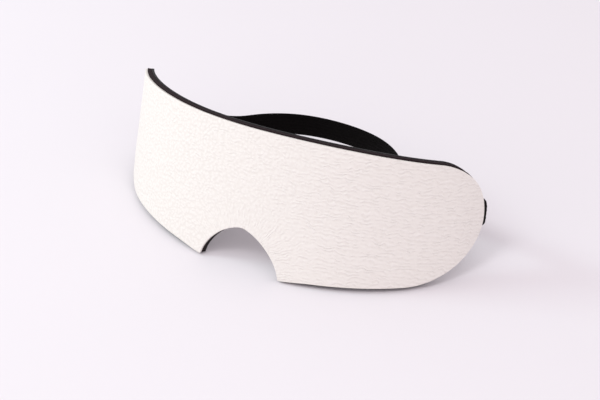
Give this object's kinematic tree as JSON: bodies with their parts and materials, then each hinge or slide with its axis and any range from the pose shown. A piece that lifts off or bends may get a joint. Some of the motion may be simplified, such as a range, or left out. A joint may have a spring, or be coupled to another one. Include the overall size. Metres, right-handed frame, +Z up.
{
  "type": "blindfold eye mask",
  "caption": "Curved leather blindfold for both eyes with an arched nose notch, a black lining and an elastic head strap that swings and stretches behind it.",
  "frame": {"origin": "under the middle of the whole blindfold, on the surface that its two lobes stand on", "axes": "+X to the wearer's left along the panel, +Y from the panel towards the back of the head, +Z up"},
  "size_m": [0.1978, 0.1074, 0.0692],
  "materials": {
    "white_leather": "tumbled pebble grain, satin",
    "charcoal_felt": "cut felt edge, matte",
    "black_suede": "napped suede, matte",
    "black_elastic": "ribbed woven elastic, matte",
    "black_thread": "twisted sewing thread, low sheen"
  },
  "bodies": {
    "panel": {"leather_face": "white_leather", "padding_core": "charcoal_felt", "lining": "black_suede", "strap_end_right": "black_elastic", "strap_end_left": "black_elastic", "anchor_stitch_right": "black_thread", "anchor_stitch_left": "black_thread"},
    "strap_sides": {"strap_side_right": "black_elastic", "strap_side_left": "black_elastic"},
    "strap_loop": {"strap_back": "black_elastic"}
  },
  "joints": [
    {"name": "strap_swing", "type": "hinge", "parent": "panel", "child": "strap_sides", "pos_m": [0, 0.0181, 0.0267], "axis": [1, 0, 0], "range_deg": [-12, 45], "stiffness_Nm_per_rad": 0.06},
    {"name": "strap_stretch", "type": "slide", "parent": "strap_sides", "child": "strap_loop", "axis": [0, 1, 0], "range_m": [0, 0.08], "stiffness_N_per_m": 40}
  ]
}
